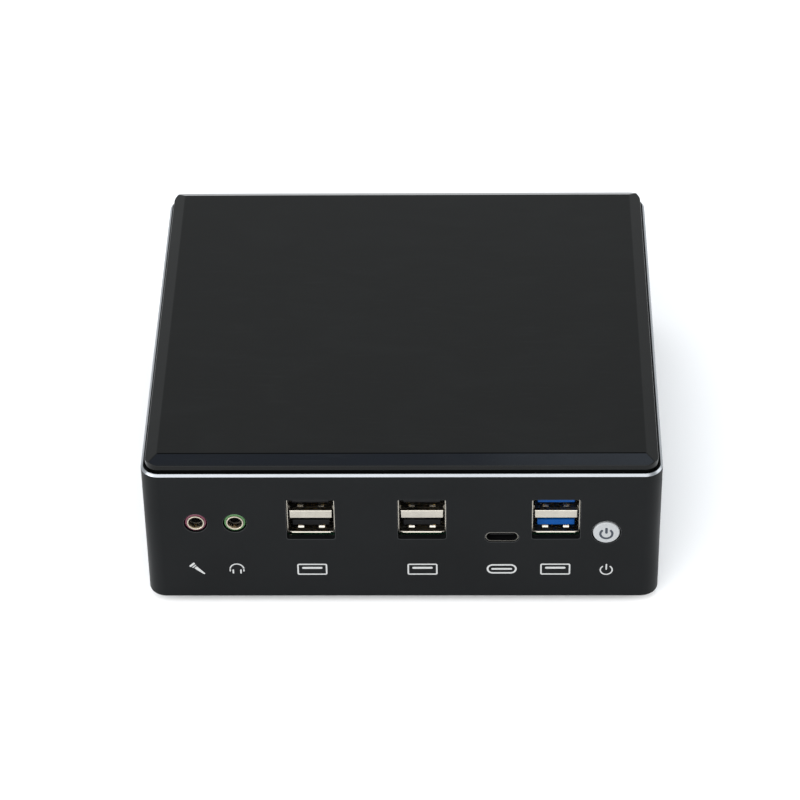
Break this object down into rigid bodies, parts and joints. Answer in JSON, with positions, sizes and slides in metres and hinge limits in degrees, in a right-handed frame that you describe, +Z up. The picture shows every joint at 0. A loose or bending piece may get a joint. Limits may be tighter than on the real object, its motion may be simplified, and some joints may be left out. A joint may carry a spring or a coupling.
{
  "type": "small desktop computer",
  "caption": "Palm-sized desktop computer: black aluminium body, bevelled gloss lid, front data, audio and slim ports, and a round push power button.",
  "frame": {"origin": "on the surface the feet stand on, under the middle of the body", "axes": "+Z up, +X to the right of someone facing the front panel, and the front panel faces -Y"},
  "size_m": [0.14, 0.1286, 0.0499],
  "materials": {
    "anodised_black": "fine satin black anodised, with a bright cut edge round the top rim",
    "gloss_black": "polished black lid plate and frame",
    "painted_black": "fine textured black powder coat",
    "foot_rubber": "matt black moulded rubber",
    "plated_steel": "bright nickel plated sheet and turned parts",
    "black_plastic": "matt moulded black",
    "blue_plastic": "matt moulded blue",
    "pink_plastic": "matt moulded pink",
    "green_plastic": "matt moulded green",
    "silver_plastic": "satin silver paint",
    "clear_plastic": "clear cast lens",
    "circuit_board": "green solder mask",
    "copper": "bare copper",
    "bare_aluminium": "plain mill finish"
  },
  "bodies": {
    "base": {"body_frame": "anodised_black", "top_cover": "gloss_black", "lid_frame": "gloss_black", "bottom_cover": "painted_black", "microphone_jack_body": "pink_plastic", "microphone_jack_ring": "plated_steel", "headphone_jack_body": "green_plastic", "headphone_jack_ring": "plated_steel", "data_stack_left_shell": "plated_steel", "data_stack_left_insulator": "black_plastic", "data_stack_middle_shell": "plated_steel", "data_stack_middle_insulator": "black_plastic", "data_stack_right_shell": "plated_steel", "data_stack_right_insulator": "blue_plastic", "slim_port_shell": "plated_steel", "slim_port_insulator": "black_plastic", "power_switch_body": "black_plastic", "power_led": "clear_plastic", "power_inlet_body": "black_plastic", "power_inlet_pin": "plated_steel", "network_port_shell": "plated_steel", "network_port_insert": "black_plastic", "video_port_shell": "plated_steel", "video_port_insulator": "black_plastic", "display_port_shell": "plated_steel", "display_port_insulator": "black_plastic", "motherboard": "circuit_board", "processor": "black_plastic", "heat_spreader": "bare_aluminium", "heat_pipe": "copper", "fin_stack": "bare_aluminium", "coin_cell": "plated_steel", "storage_stick": "circuit_board", "wireless_card": "circuit_board", "memory_socket_front": "black_plastic", "memory_socket_rear": "black_plastic", "memory_module_front": "circuit_board", "memory_module_rear": "circuit_board", "storage_drive": "bare_aluminium", "drive_bracket": "plated_steel", "blower_housing": "black_plastic", "blower_cover": "plated_steel", "blower_stator": "copper", "antenna_left": "copper", "antenna_right": "copper", "rubber_foot_front_left": "foot_rubber", "cover_screw_front_left": "plated_steel", "board_screw_front_left": "plated_steel", "rubber_foot_front_right": "foot_rubber", "cover_screw_front_right": "plated_steel", "board_screw_front_right": "plated_steel", "rubber_foot_rear_left": "foot_rubber", "cover_screw_rear_left": "plated_steel", "board_screw_rear_left": "plated_steel", "rubber_foot_rear_right": "foot_rubber", "cover_screw_rear_right": "plated_steel", "board_screw_rear_right": "plated_steel"},
    "button": {"power_button": "silver_plastic", "power_switch_plunger": "black_plastic"},
    "impeller": {"blower_impeller": "black_plastic"}
  },
  "joints": [
    {"name": "power_button_press", "type": "slide", "parent": "base", "child": "button", "axis": [0, 1, 0], "range_m": [0, 0.0005], "stiffness_N_per_m": 1500},
    {"name": "impeller_spin", "type": "hinge", "parent": "base", "child": "impeller", "pos_m": [-0.032, 0.009, 0.0366], "axis": [0, 0, 1], "continuous": true}
  ]
}
